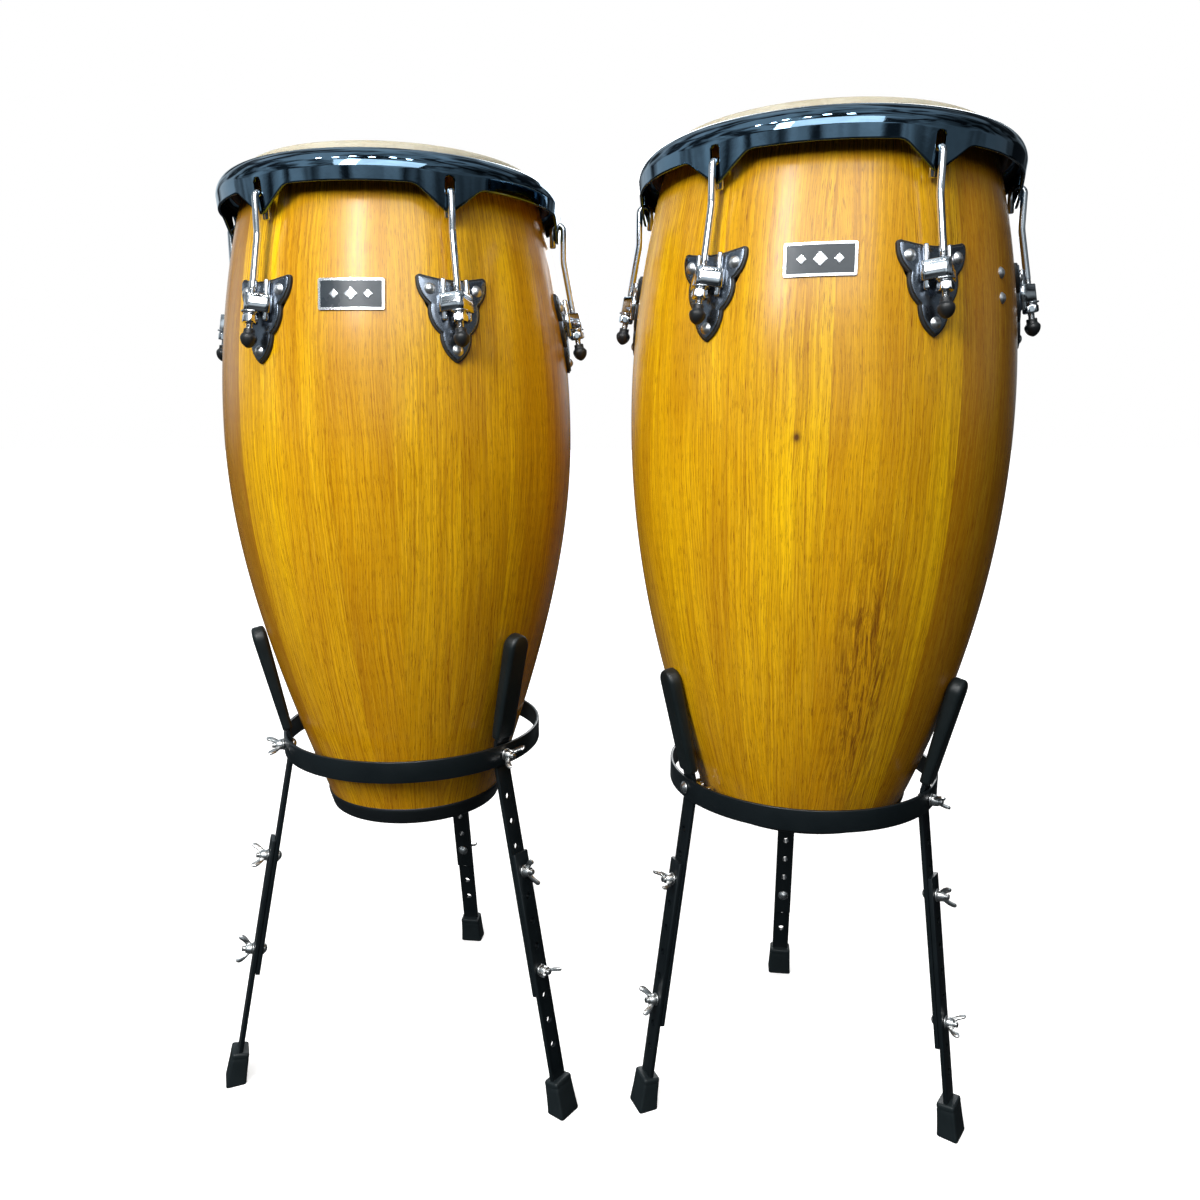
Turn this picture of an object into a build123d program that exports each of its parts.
"""A pair of conga drums on basket stands: a quinto on the left and a conga on the right.

Millimetres, +Z up. The origin is on the floor, under the middle of the pair's box. Azimuths are
degrees about a drum's own axis, 0 towards -Y (the players' side) and positive towards +X.
"""
from build123d import *
import os
from dataclasses import dataclass
from math import atan, atan2, cos, degrees, radians, sin, sqrt, tan


@dataclass(frozen=True)
class Model:
    """What differs between the two drums and their stands."""

    name: str
    x: float            # drum axis in plan
    y: float
    base_z: float       # underside of the staves above the floor
    base_r: float       # outer radius of the staves at the base
    belly_r: float      # at the belly
    belly_z: float      # height of the belly above the base
    lower_curve: float  # how much of the taper below the belly is taken near the belly
    top_r: float        # at the bearing edge: 11 in and 11 3/4 in heads
    rim_r: float        # widest radius of the crown rim
    badge_azimuth: float
    badge_z: float
    side_bolts: tuple   # (azimuth from the badge, height above the base) of spare bolts
    ring_top: float     # top edge of the stand's hoop above the floor
    leg_azimuth: float  # turn of the stand about its axis
    leg_tilt: float     # lean of the legs from vertical, degrees
    sleeve_top: float   # top of the rubber sleeves above the floor
    overlap: int        # hole pitches between the two bolts of each leg
    outer_heads: tuple  # legs whose hoop bolt has its head outside and its wing nut inside


QUINTO = Model(
    name="quinto", x=-212.0, y=25.0, base_z=309.5, base_r=89.5, belly_r=177.6, belly_z=396.0,
    lower_curve=1.45, top_r=140.0, rim_r=170.0, badge_azimuth=-2.0, badge_z=519.5, side_bolts=(),
    ring_top=393.0, leg_azimuth=-7.5, leg_tilt=11.5, sleeve_top=512.0, overlap=4, outer_heads=(),
)
CONGA = Model(
    name="conga", x=213.5, y=-25.0, base_z=325.5, base_r=100.5, belly_r=184.8, belly_z=400.0,
    lower_curve=1.03, top_r=149.0, rim_r=179.0, badge_azimuth=-13.0, badge_z=523.0,
    side_bolts=((58.5, 520.0), (58.5, 499.0)),
    ring_top=364.0, leg_azimuth=-7.5, leg_tilt=7.5, sleeve_top=480.0, overlap=5, outer_heads=(1,),
)
MODELS = (QUINTO, CONGA)

# Staved shell
STAVES = 20
STAVE_T = 11.0
SHELL_H = 650.0         # base to bearing edge
EDGE_R = 5.0            # round of the bearing edge
BASE_BAND_H = 16.0      # black band round the base
BASE_BAND_T = 2.0
BASE_LIP = 7.0

# Head, flesh hoop and crown rim
SKIN_T = 1.8
SKIN_GAP = 0.05
SKIN_SKIRT = 27.0
RIM_TOP = 642.0
RIM_T = 2.5
RIM_LIP = 5.5
RIM_ROLL = 3.5
RIM_DRAFT = 5.6         # the skirt of the rim leans inward, degrees
RIM_GAP = 1.3           # lip to skin, with the rim at its lowest
RIM_TRAVEL = 2.0        # tuning travel, each way
TAB_TIP = 590.0
ARCH_TOP = 611.5
TAB_ROOT = 35.0         # half width of a tab where it meets the arches
TAB_TIP_R = 6.0
ARCH_ROUND = 15.0
HOLE_Z, HOLE_W, HOLE_H = 612.0, 9.0, 16.0
HOOP_R = 4.0
HOOP_Z = 631.5

# Lugs, hooks and tuning nuts
LUGS = 6
ROD_R = 3.175           # quarter inch rod
ROD_TILT = 10.5
ROD_REF_Z = 482.5       # middle of the rubber cap, where heights along the rod are counted from
ROD_REF_OUT = 18.5      # its distance outside the rim's radius
HOOK_OUT = 1.9          # upper rod outside the rim's radius
HOOK_LEG_Z = 586.0      # end of the hook's inner leg
HOOK_DROP = 4.0         # hook's crown below the middle of its hole
HOOK_SPAN = 11.0        # inner leg to upper rod, between centres
GASKET_T = 2.5
PLATE_T = 1.6
PLATE_Z = 498.5         # middle of a lug plate
PLATE_REACH = 35.0      # half the plate's height
GASKET_EDGE = 1.8       # gasket showing round the plate
STRAP_T = 1.6
STRAP_H = (23.9, 39.7)  # along the rod
STRAP_R = 6.4
ROOT_PIN_R = 2.5
ROOT_PIN_OUT = 10.5     # root pins each side of the middle
ROOT_PIN_GAP = 0.3      # plate to root pins
ROOT_PIN_Z = (497.0, 533.0)
WASHER_R, WASHER_T = 8.0, 1.4
LOCK_R = 6.3
NUT_AF, NUT_T = 12.7, 7.0
NUT_BORE = 3.7
NUT_H = 13.9
CAP_R, CAP_NECK_R = 7.2, 4.8
DOME_R, DOME_H, SHANK_R = 5.0, 3.0, 2.5
DOMES = ((-7.2, 524.5), (7.2, 524.5), (0.0, 472.5))
BADGE_W, BADGE_H, BADGE_T = 59.0, 28.0, 1.5

# Basket stand
HOOP_OUT, HOOP_T, HOOP_H = 140.0, 3.0, 22.0
BAR_W, BAR_T = 20.0, 4.5
KNEE = 25.0             # the upright bends this far below the hoop's top edge
PITCH = 27.0            # height-setting holes
HOLES = 8
BAR_HOLE_R, BOLT_R = 3.5, 3.0
LOW_BOLT = 221.0        # knee to the upright's lowest hole, along the leg
UPRIGHT_END = 26.0      # past that hole
LEG_TOP_END = 20.0      # lower leg, above its top hole
SLIDE_GAP = 0.25
SLEEVE_W, SLEEVE_T, SLEEVE_T_LOW = 26.0, 15.0, 10.0
SLEEVE_GAP = 8.0        # hoop to sleeve
DRUM_GAP = 0.35         # sleeve to drum
FOOT_W, FOOT_D, FOOT_H, FOOT_FLARE = 25.0, 18.0, 36.0, 3.0

LEGS = (1, 2, 3)
CLEAR = 0.1


def turn(azimuth, thing):
    return Rot(0, 0, azimuth) * thing


def lug_azimuths(m):
    return [m.badge_azimuth + 30 + 360 / LUGS * i for i in range(LUGS)]


def leg_azimuths(m):
    return [m.leg_azimuth + a for a in (-60, 60, 180)]


def radial(r, z):
    """A point of the vertical plane at azimuth 0."""
    return (0, -r, z)


def shell_r(m, z):
    """Outer radius of the staves at height z above the base."""
    if z >= m.belly_z:
        t = (z - m.belly_z) / (SHELL_H - m.belly_z)
        return m.belly_r - (m.belly_r - m.top_r) * t**2
    u = (m.belly_z - z) / m.belly_z
    return m.belly_r - (m.belly_r - m.base_r) * (m.lower_curve * u**2 - (m.lower_curve - 1) * u**3)


def shell_slope(m, z):
    """Lean of the shell's surface from vertical in degrees, positive where it narrows upward."""
    return degrees(atan(shell_r(m, z - 0.5) - shell_r(m, z + 0.5)))


def on_shell(m, azimuth, z, out=0.0):
    """A frame on the shell: +Z up along the surface, -Y outward."""
    slope = shell_slope(m, z)
    return Rot(0, 0, azimuth) * Pos(0, -shell_r(m, z), z) * Rot(-slope, 0, 0) * Pos(0, -out, 0)


def side_curve(m, offset=0.0):
    heights = [(SHELL_H - EDGE_R) * i / 10 for i in range(11)]
    return Spline([(shell_r(m, z) + offset, z) for z in heights])


def revolved(*lines):
    return revolve(Plane.XZ * make_face(Curve() + list(lines)), axis=Axis.Z)


def envelope(m, offset):
    """Everything inside the shell's outer surface moved out by offset, below the bearing edge."""
    side = side_curve(m, offset)
    bottom, top = side @ 0, side @ 1
    return revolved(side, Polyline((top.X, top.Y), (0, top.Y), (0, bottom.Y), (bottom.X, bottom.Y)))


def edge_arc(m, grow=0.0):
    """The round from the side up on to the bearing edge."""
    r, z = shell_r(m, SHELL_H - EDGE_R), SHELL_H - EDGE_R
    reach, centre = EDGE_R + grow, r - EDGE_R
    s = sqrt(0.5)
    return ThreePointArc((r + grow, z), (centre + reach * s, z + reach * s), (centre, z + reach))


def ring(r_out, r_in, z0, z1):
    return Pos(0, 0, z0) * extrude(Circle(r_out) - Circle(r_in), z1 - z0)


def y_rod(r, y0, y1):
    """A rod along Y, from y0 to y1."""
    return Pos(0, y0, 0) * extrude(Plane.XZ * Circle(r), -(y1 - y0))


def y_hex(flats, y0, y1):
    hexagon = RegularPolygon(flats / 2, 6, major_radius=False)
    return Pos(0, y0, 0) * extrude(Plane.XZ * hexagon, -(y1 - y0))


# ------------------------------------------------------------------ drum
def bolt_places(m):
    """(azimuth, height, how far out its head sits) of each bolt through the shell."""
    places = [(a + da, z, GASKET_T + PLATE_T) for a in lug_azimuths(m) for da, z in DOMES]
    return places + [(m.badge_azimuth + da, z, 0.0) for da, z in m.side_bolts]


def staves(m):
    side = side_curve(m)
    inner = side_curve(m, -STAVE_T)
    edge = edge_arc(m)
    crest, inner_top = edge @ 1, inner @ 1
    top = Polyline((crest.X, crest.Y), (inner_top.X, crest.Y - 1), (inner_top.X, inner_top.Y))
    low_out, low_in = side @ 0, inner @ 0
    bottom = Line((low_in.X, low_in.Y), (low_out.X, low_out.Y))
    section = Plane.XZ * make_face(Curve() + [side, edge, top, inner, bottom])
    stave = revolve(section, axis=Axis.Z, revolution_arc=360 / STAVES)
    pieces = []
    for i in range(STAVES):
        start = 360 / STAVES * i
        piece = turn(start, stave)
        for azimuth, z, _ in bolt_places(m):
            # the revolve starts on +X, which is azimuth 90
            lag = (azimuth - 90 - start) % 360
            if lag < 360 / STAVES + 4 or lag > 356:
                piece -= on_shell(m, azimuth, z) * y_rod(SHANK_R + CLEAR, -6, STAVE_T + 6)
        pieces.append(piece)
    return pieces


def base_band(m):
    band = Pos(0, 0, -2) * extrude(Circle(m.base_r + BASE_BAND_T), BASE_BAND_H + 2, taper=-13)
    inside = Pos(0, 0, -3) * extrude(Circle(m.base_r - BASE_LIP), 10)
    return [band - envelope(m, 0) - inside]


def core(m):
    """The shell as a solid plug up to the bearing edge, with the skin's clearance."""
    side, edge = side_curve(m, SKIN_GAP), edge_arc(m, SKIN_GAP)
    top = edge @ 1
    low = side @ 0
    return revolved(side, edge, Polyline((top.X, top.Y), (0, top.Y), (0, low.Y), (low.X, low.Y)))


def head_skin(m):
    edge = edge_arc(m, SKIN_T)
    top, start = edge @ 1, edge @ 0
    z_low = SHELL_H - EDGE_R - SKIN_SKIRT + 5
    low_r = shell_r(m, z_low) + SKIN_T
    mid_z = (z_low + SHELL_H - EDGE_R) / 2
    skirt = Spline([(low_r, z_low), (shell_r(m, mid_z) + SKIN_T, mid_z), (start.X, start.Y)])
    cover = Polyline((top.X, top.Y), (0, top.Y), (0, z_low), (low_r, z_low))
    return [revolved(skirt, edge, cover) - core(m)]


def hoop_r(m):
    """Radius of the flesh hoop's centre circle: clear of the skin through the whole travel."""
    return shell_r(m, HOOP_Z - HOOP_R - RIM_TRAVEL) + SKIN_T + 0.5 + HOOP_R


def flesh_hoop(m):
    return [revolve(Plane.XZ * (Pos(hoop_r(m), HOOP_Z) * Circle(HOOP_R)), axis=Axis.Z)]


def rim_section(m):
    """Lip, rolled top edge, round shoulder and skirt, as one sheet."""
    lip_r = shell_r(m, RIM_TOP - RIM_LIP - RIM_TRAVEL) + SKIN_T + RIM_GAP
    crown_r = lip_r + RIM_ROLL
    shoulder = m.rim_r - crown_r
    centre_z = RIM_TOP - shoulder
    drop = centre_z - TAB_TIP + 2
    s = sqrt(0.5)

    def side(inset):
        a, b = RIM_ROLL - inset, shoulder - inset
        roll_z = RIM_TOP - RIM_ROLL
        return [
            Line((lip_r + inset, RIM_TOP - RIM_LIP), (lip_r + inset, roll_z)),
            ThreePointArc(
                (crown_r - a, roll_z), (crown_r - a * s, roll_z + a * s), (crown_r, roll_z + a)
            ),
            ThreePointArc(
                (crown_r, centre_z + b), (crown_r + b * s, centre_z + b * s), (crown_r + b, centre_z)
            ),
            Line(
                (crown_r + b, centre_z),
                (crown_r + b - drop * tan(radians(RIM_DRAFT)), centre_z - drop),
            ),
        ]

    outer, inner = side(0), side(RIM_T)
    ends = [
        Line(outer[0] @ 0, inner[0] @ 0),
        Line(outer[3] @ 1, inner[3] @ 1),
    ]
    return Plane.XZ * make_face(Curve() + outer + inner + ends)


def arch_cut(m):
    """One scallop between two tabs, as a prism pointing outward at azimuth 0."""
    half = m.rim_r * sin(radians(180 / LUGS))
    root_turn = 180 / LUGS - degrees(TAB_ROOT / m.rim_r)
    root = m.rim_r * sin(radians(root_turn))
    side = atan2(ARCH_TOP - TAB_TIP, half - TAB_TIP_R - root)
    tip_x = half - TAB_TIP_R * sin(side)
    tip_z = TAB_TIP + TAB_TIP_R * (1 - cos(side))
    slope_x = tip_x - (ARCH_TOP - tip_z) / tan(side)
    arch = FilletPolyline(
        (-tip_x, tip_z), (-slope_x, ARCH_TOP), (slope_x, ARCH_TOP), (tip_x, tip_z),
        radius=ARCH_ROUND,
    )
    mid_x = half - TAB_TIP_R * sin(side / 2)
    mid_z = TAB_TIP + TAB_TIP_R * (1 - cos(side / 2))
    low = TAB_TIP - 10
    edges = [
        arch,
        ThreePointArc((tip_x, tip_z), (mid_x, mid_z), (half, TAB_TIP)),
        Polyline((half, TAB_TIP), (half, low), (-half, low), (-half, TAB_TIP)),
        ThreePointArc((-half, TAB_TIP), (-mid_x, mid_z), (-tip_x, tip_z)),
    ]
    return Pos(0, -100, 0) * extrude(Plane.XZ * make_face(Curve() + edges), 120)


def rim(m):
    body = revolve(rim_section(m), axis=Axis.Z)
    arch = arch_cut(m)
    hole = Plane.XZ * (Pos(0, HOLE_Z) * SlotOverall(HOLE_H, HOLE_W, rotation=90))
    slot = Pos(0, -120, 0) * extrude(hole, 100)
    for azimuth in lug_azimuths(m):
        body = body - turn(azimuth, slot) - turn(azimuth + 180 / LUGS, arch)
    return [body]


def rod_frame(m):
    """On the rod at azimuth 0: +Z up along it, -Y outward, origin at the cap's middle."""
    return Pos(*radial(m.rim_r + ROD_REF_OUT, ROD_REF_Z)) * Rot(-ROD_TILT, 0, 0)


def hook(m):
    upper = m.rim_r + HOOK_OUT
    bend_z = ROD_REF_Z + (ROD_REF_OUT - HOOK_OUT) / tan(radians(ROD_TILT))
    inner = upper - HOOK_SPAN
    crook = HOLE_Z - HOOK_DROP
    path = FilletPolyline(
        radial(inner, HOOK_LEG_Z), radial(inner, crook), radial(upper, crook),
        radial(upper, bend_z), radial(m.rim_r + ROD_REF_OUT, ROD_REF_Z),
        radius=[HOOK_SPAN / 2 - 0.05, HOOK_SPAN / 2 - 0.05, 40],
    )
    section = Plane(origin=path @ 0, z_dir=path % 0) * Circle(ROD_R)
    return sweep(section, path=path)


def hooks(m):
    return [turn(a, hook(m)) for a in lug_azimuths(m)]


def hook_caps(m):
    bore = ROD_R + CLEAR
    low, high, rim_z = -8.0, 8.5, 4.5
    section = make_face(
        Curve()
        + [
            Polyline((0, low), (0, -CLEAR), (bore, -CLEAR), (bore, high)),
            Polyline((bore, high), (CAP_NECK_R, high), (CAP_NECK_R, rim_z)),
            Spline((CAP_NECK_R, rim_z), (CAP_R, 0.5), (CAP_R * 0.75, -4.8), (1.5, low)),
            Line((1.5, low), (0, low)),
        ]
    )
    cap = revolve(Plane.XZ * section, axis=Axis.Z)
    return [turn(a, rod_frame(m) * cap) for a in lug_azimuths(m)]


def nut(m):
    hexagon = RegularPolygon(NUT_AF / 2, 6, major_radius=False) - Circle(NUT_BORE)
    return rod_frame(m) * Pos(0, 0, NUT_H) * extrude(hexagon, NUT_T)


def half_outline():
    """Right half of a lug plate, from its top middle to its point: two ears and three lobes."""
    return [
        Spline((0, 33.5), (14, 34.5), (27.5, 37)),
        ThreePointArc((27.5, 37), (29.8, 37.2), (30.5, 35)),
        ThreePointArc((30.5, 35), (28.6, 23.5), (21, 14)),
        ThreePointArc((21, 14), (20.6, 0), (12.5, -11)),
        ThreePointArc((12.5, -11), (9.6, -25), (0, -35)),
    ]


def plate_outline():
    right = half_outline()
    left = [edge.mirror(Plane.YZ) for edge in right]
    return make_face(Curve() + right + left)


def plate_prism(m, grow):
    outline = plate_outline().scale(1 + grow / PLATE_REACH)
    slab = extrude(Plane.XZ * outline, 14, both=True)
    return Pos(*radial(shell_r(m, PLATE_Z), PLATE_Z)) * Rot(-shell_slope(m, PLATE_Z), 0, 0) * slab


def cut_bolts(m, azimuth, body):
    for da, z in DOMES:
        body -= on_shell(m, azimuth + da, z) * y_rod(SHANK_R + CLEAR, -12, 6)
    return body


def lug_gaskets(m):
    pad = (plate_prism(m, GASKET_EDGE) & envelope(m, GASKET_T)) - envelope(m, 0)
    return [turn(a, cut_bolts(m, 0, pad)) for a in lug_azimuths(m)]


def root_pin_place(m, z):
    """Distance of the root pins' centres from the drum axis and from the lug's middle."""
    r = shell_r(m, z) + GASKET_T + PLATE_T + ROOT_PIN_GAP + ROOT_PIN_R
    away = ROOT_PIN_OUT / shell_r(m, z)
    return r * cos(away), r * sin(away)


def strap(m):
    """A steel band round the rod and the two root pins."""
    r, z = m.rim_r + ROD_REF_OUT, ROD_REF_Z
    mid = sum(STRAP_H) / 2 * cos(radians(ROD_TILT)) + z
    rod_r = r - (mid - z) * tan(radians(ROD_TILT))
    pin_r, pin_x = root_pin_place(m, mid)
    back = rod_r - pin_r

    def loop(inset):
        big = Circle(STRAP_R - inset)
        small = Circle(ROOT_PIN_R + 0.7 + STRAP_T - inset)
        side = Pos(-pin_x, back) * small, Pos(pin_x, back) * small
        return make_hull((big + list(side)).edges())

    band = extrude(loop(0) - loop(STRAP_T), STRAP_H[1] - STRAP_H[0])
    return rod_frame(m) * Pos(0, 0, STRAP_H[0]) * band - envelope(m, GASKET_T + PLATE_T)


def lug_plates(m):
    plate = (plate_prism(m, 0) & envelope(m, GASKET_T + PLATE_T)) - envelope(m, GASKET_T)
    plate = cut_bolts(m, 0, plate)
    band = strap(m)
    return [turn(a, piece) for a in lug_azimuths(m) for piece in (plate, band)]


def root_pins(m, azimuth):
    mid = sum(ROOT_PIN_Z) / 2
    length = ROOT_PIN_Z[1] - ROOT_PIN_Z[0]
    away = degrees(ROOT_PIN_OUT / shell_r(m, mid))
    pin = Pos(0, 0, -length / 2) * extrude(Circle(ROOT_PIN_R), length)
    out = GASKET_T + PLATE_T + ROOT_PIN_GAP + ROOT_PIN_R
    return [on_shell(m, azimuth + s * away, mid, out) * pin for s in (-1, 1)]


def tuning_washers(m):
    flat = Pos(0, 0, STRAP_H[0] - WASHER_T - 0.05) * extrude(Circle(WASHER_R) - Circle(4.4), WASHER_T)
    low = STRAP_H[0] - 2 * WASHER_T - 0.1
    lock = Pos(0, 0, low) * extrude(Circle(LOCK_R) - Circle(4.2), WASHER_T)
    return [rod_frame(m) * flat, rod_frame(m) * lock]


def through_bolt(out):
    """Dome head outside, shank through the shell, washer and nut inside; -Y is outward."""
    rise = (DOME_R**2 - DOME_H**2) / (2 * DOME_H)
    ball = Pos(0, rise, 0) * Sphere(DOME_R**2 / (2 * DOME_H) + DOME_H / 2)
    dome = ball & y_rod(DOME_R + 1, -DOME_H - 1, 0)
    head = Pos(0, -out - CLEAR, 0) * dome
    inside = STAVE_T + 0.35
    shank = y_rod(SHANK_R, -out - CLEAR, inside + 7)
    washer = y_rod(7, inside, inside + 1.2) - y_rod(SHANK_R + CLEAR, inside - 1, inside + 3)
    hexnut = y_hex(8, inside + 1.3, inside + 5.3) - y_rod(SHANK_R + CLEAR, inside, inside + 8)
    return [head + shank, washer, hexnut]


def shell_fasteners(m):
    pieces = []
    for azimuth, z, out in bolt_places(m):
        pieces += [on_shell(m, azimuth, z) * p for p in through_bolt(out)]
    for azimuth in lug_azimuths(m):
        pieces += root_pins(m, azimuth)
        pieces += [turn(azimuth, p) for p in tuning_washers(m)]
    return pieces


def badge(m):
    face = extrude(Plane.XZ * RectangleRounded(BADGE_W, BADGE_H, 2), 12, both=True)
    slope = shell_slope(m, m.badge_z)
    prism = Pos(*radial(shell_r(m, m.badge_z), m.badge_z)) * Rot(-slope, 0, 0) * face
    return [turn(m.badge_azimuth, (prism & envelope(m, BADGE_T)) - envelope(m, 0))]


# ------------------------------------------------------------------ stand
def bar_r():
    """Radius of the uprights' mid-plane where they lie inside the hoop."""
    inside = HOOP_OUT - HOOP_T
    return sqrt(inside**2 - (BAR_W / 2) ** 2) - CLEAR - BAR_T / 2


def knee_z(m):
    return m.ring_top - KNEE


def leg_frame(m):
    """At a leg's knee at azimuth 0: +Z up along the leg, -Y outward."""
    return Pos(*radial(bar_r(), knee_z(m))) * Rot(-m.leg_tilt, 0, 0)


def arm_tilt(m):
    """Outward lean of an arm that brings the top of its sleeve to the drum."""
    touch = m.sleeve_top - 3
    reach = shell_r(m, touch - m.base_z) + DRUM_GAP + SLEEVE_T / 2 - bar_r()
    return degrees(atan(reach / (touch - m.ring_top)))


def arm_frame(m):
    """Where an arm starts to lean, at azimuth 0: +Z up along it, -Y outward."""
    return Pos(*radial(bar_r(), m.ring_top)) * Rot(arm_tilt(m), 0, 0)


def arm_length(m):
    return (m.sleeve_top - m.ring_top) / cos(radians(arm_tilt(m)))


def bar_holes(first, count):
    """Height-setting holes down a leg, in the leg frame, as a cutter."""
    drill = y_rod(BAR_HOLE_R, -12, 6)
    return [Pos(0, 0, -first - PITCH * i) * drill for i in range(count)]


def stand_ring(m):
    hoop = ring(HOOP_OUT, HOOP_OUT - HOOP_T, m.ring_top - HOOP_H, m.ring_top)
    for azimuth in leg_azimuths(m):
        bore = Pos(0, 0, m.ring_top - HOOP_H / 2) * y_rod(BOLT_R + CLEAR, -HOOP_OUT - 5, -bar_r() + 9)
        hoop -= turn(azimuth, bore)
    return [hoop]


def upright_bar(m, arm_end):
    """One flat bar, bent at the knee and again where the arm leans out."""
    tip = arm_frame(m) * Pos(0, 0, arm_length(m) - arm_end)
    end = leg_frame(m) * Pos(0, 0, -LOW_BOLT - UPRIGHT_END)
    path = FilletPolyline(
        tip.position, radial(bar_r(), m.ring_top), radial(bar_r(), knee_z(m)), end.position,
        radius=12,
    )
    section = Plane(origin=path @ 0, x_dir=(1, 0, 0), z_dir=path % 0) * Rectangle(BAR_W, BAR_T)
    return sweep(section, path=path)


def stand_uprights(m):
    bar = upright_bar(m, arm_end=6)
    first = LOW_BOLT - PITCH * (HOLES - 1)
    for drill in bar_holes(first, HOLES):
        bar -= leg_frame(m) * drill
    bar -= Pos(0, 0, m.ring_top - HOOP_H / 2) * y_rod(BOLT_R + CLEAR, -HOOP_OUT - 5, -bar_r() + 9)
    return [turn(a, bar) for a in leg_azimuths(m)]


def arm_sleeves(m):
    """Rubber sleeves with a round top, thinner towards the hoop."""
    length = arm_length(m) - SLEEVE_GAP
    straight = length - SLEEVE_W / 2
    front = Pos(0, straight / 2) * Rectangle(SLEEVE_W, straight) + Pos(0, straight) * Circle(SLEEVE_W / 2)
    slab = extrude(Plane.XZ * front, SLEEVE_T / 2, both=True)
    slab = fillet(slab.edges().filter_by(GeomType.CIRCLE), 2.5)
    low, high = SLEEVE_T_LOW / 2, SLEEVE_T / 2
    side = Polyline((-low, -1), (low, -1), (high, straight), (high, length + 1),
                    (-high, length + 1), (-high, straight), close=True)
    taper = extrude(Plane.YZ * make_face(side), SLEEVE_W, both=True)
    sleeve = arm_frame(m) * Pos(0, 0, SLEEVE_GAP) * (slab & taper) - upright_bar(m, arm_end=6)
    return [turn(a, sleeve) for a in leg_azimuths(m)]


def wing_nut(seat):
    """A wing nut on a rod along Y, its face at y = seat and its wings outward (-Y)."""
    hub = Plane.XZ.offset(-seat) * Circle(5.6)
    body = extrude(hub, 7, taper=8)
    wing = Polyline((3, 0), (4.5, 2), (12.5, 9), (14.5, 13.5), (11.5, 15.5), (8.5, 13), (3, 6), close=True)
    plate = extrude(Plane.XY * make_face(wing), 1.1, both=True)
    plate = Pos(0, seat, 0) * Rot(180, 0, 0) * plate
    both = plate + plate.mirror(Plane.YZ)
    return body + both - y_rod(BOLT_R + CLEAR, seat - 20, seat + 5)


def wing_bolt(outer, inner):
    """Bolt with its round head and washer at y = inner, washer and wing nut at y = outer."""
    gap, washer = 0.3, 1.2
    head_y = inner + gap + washer
    shank = y_rod(BOLT_R, outer - gap - washer - 11, head_y)
    head = y_rod(5.5, head_y, head_y + 3.2)
    disc = Circle(6.5) - Circle(BOLT_R + CLEAR)
    inner_washer = extrude(Plane.XZ.offset(-head_y + 0.02) * disc, washer)
    outer_washer = extrude(Plane.XZ.offset(-outer + gap) * disc, washer)
    return [shank + head, inner_washer, outer_washer, wing_nut(outer - gap - washer - 0.02)]


def lower_bolt_frame(m):
    return leg_frame(m) * Pos(0, 0, -LOW_BOLT)


def upper_bolt_frame(m):
    return leg_frame(m) * Pos(0, 0, -LOW_BOLT + PITCH * m.overlap)


def leg_outer():
    """Outer face of a lower leg, across the leg frame."""
    return -BAR_T / 2 - SLIDE_GAP - BAR_T


def stand_bolts(m):
    """Per leg: the bolt that holds it to the hoop, and the lower of its two height bolts."""
    pieces = []
    lower = [lower_bolt_frame(m) * p for p in wing_bolt(leg_outer(), BAR_T / 2)]
    at_hoop = Pos(*radial(bar_r(), m.ring_top - HOOP_H / 2))
    outside = -HOOP_OUT + bar_r() - CLEAR
    for number, azimuth in zip(LEGS, leg_azimuths(m)):
        if number in m.outer_heads:
            hoop_bolt = [Rot(0, 0, 180) * p for p in wing_bolt(-BAR_T / 2, -outside)]
        else:
            hoop_bolt = wing_bolt(outside, BAR_T / 2)
        pieces += [turn(azimuth, at_hoop * p) for p in hoop_bolt]
        pieces += [turn(azimuth, p) for p in lower]
    return pieces


def leg_end(m):
    """Knee to the floor along the leg."""
    return knee_z(m) / cos(radians(m.leg_tilt))


def leg_bar(m):
    top = LOW_BOLT - PITCH * m.overlap - LEG_TOP_END
    bottom = leg_end(m) - 7
    middle = -BAR_T / 2 - SLIDE_GAP - BAR_T / 2
    return Pos(0, middle, -(top + bottom) / 2) * Box(BAR_W, BAR_T, bottom - top)


def lower_leg(m, azimuth):
    bar = leg_bar(m)
    for drill in bar_holes(LOW_BOLT - PITCH * m.overlap, HOLES):
        bar -= drill
    return [turn(azimuth, leg_frame(m) * bar)]


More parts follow.
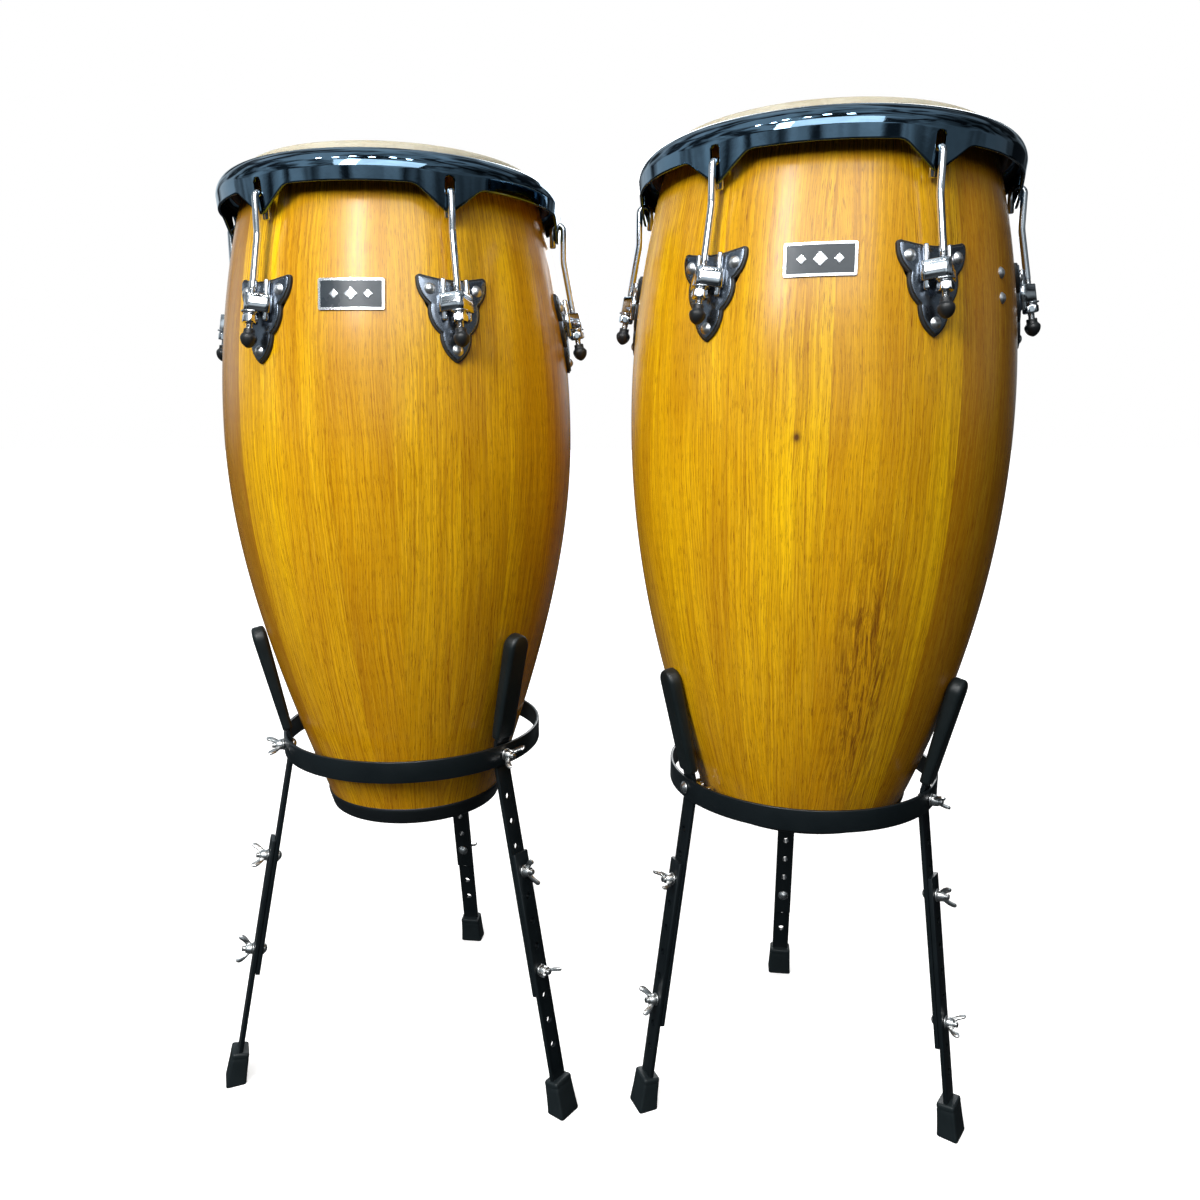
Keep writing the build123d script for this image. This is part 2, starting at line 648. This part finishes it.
def foot(m, azimuth):
    """A square rubber foot that flares to a flat sole on the floor."""
    middle = -BAR_T / 2 - SLIDE_GAP - BAR_T / 2
    height = FOOT_H / cos(radians(m.leg_tilt)) + 6
    top_z = -leg_end(m) + FOOT_H / cos(radians(m.leg_tilt))
    flare = degrees(atan(FOOT_FLARE / 2 / height))
    block = extrude(RectangleRounded(FOOT_W, FOOT_D, 2), height, taper=-flare)
    block = Pos(0, middle, top_z) * Rot(180, 0, 0) * block
    shaped = leg_frame(m) * (block - leg_bar(m))
    ground = Pos(0, 0, -50) * Box(2000, 2000, 100)
    return [turn(azimuth, shaped - ground)]


def upper_wing_bolt(m, azimuth):
    return [turn(azimuth, upper_bolt_frame(m) * p) for p in wing_bolt(leg_outer(), BAR_T / 2)]


# ------------------------------------------------------------------ assembly
def drum_nodes(m):
    """Pieces of the drum, still standing on their own base."""
    nodes = {
        "shell_staves": staves(m),
        "base_band": base_band(m),
        "lug_gaskets": lug_gaskets(m),
        "lugs": lug_plates(m),
        "shell_fasteners": shell_fasteners(m),
        "badge": badge(m),
        "head_skin": head_skin(m),
        "flesh_hoop": flesh_hoop(m),
        "rim": rim(m),
        "tuning_hooks": hooks(m),
        "hook_caps": hook_caps(m),
    }
    for number, azimuth in enumerate(lug_azimuths(m), start=1):
        nodes[f"tuning_nut_{number}"] = [turn(azimuth, nut(m))]
    return {n: [Pos(0, 0, m.base_z) * s for s in solids] for n, solids in nodes.items()}


def stand_nodes(m):
    nodes = {
        "stand_ring": stand_ring(m),
        "stand_uprights": stand_uprights(m),
        "arm_sleeves": arm_sleeves(m),
        "stand_wing_bolts": stand_bolts(m),
    }
    for number, azimuth in zip(LEGS, leg_azimuths(m)):
        nodes[f"lower_leg_{number}"] = lower_leg(m, azimuth)
        nodes[f"foot_{number}"] = foot(m, azimuth)
        nodes[f"wing_bolt_{number}"] = upper_wing_bolt(m, azimuth)
    return nodes


def assembly():
    """Every node at its place, centred over the origin."""
    nodes = {}
    for m in MODELS:
        for name, solids in {**drum_nodes(m), **stand_nodes(m)}.items():
            placed = Compound([s for piece in solids for s in (Pos(m.x, m.y, 0) * piece).solids()])
            nodes[f"{m.name}_{name}"] = placed
    box = Compound(list(nodes.values())).bounding_box()
    shift = Pos(-box.center().X, -box.center().Y, 0)
    return {name: shift * node for name, node in nodes.items()}, shift.position


def main():
    os.makedirs("parts", exist_ok=True)
    nodes, _ = assembly()
    for name, node in nodes.items():
        export_step(node, f"parts/{name}.step")


if __name__ == "__main__":
    main()
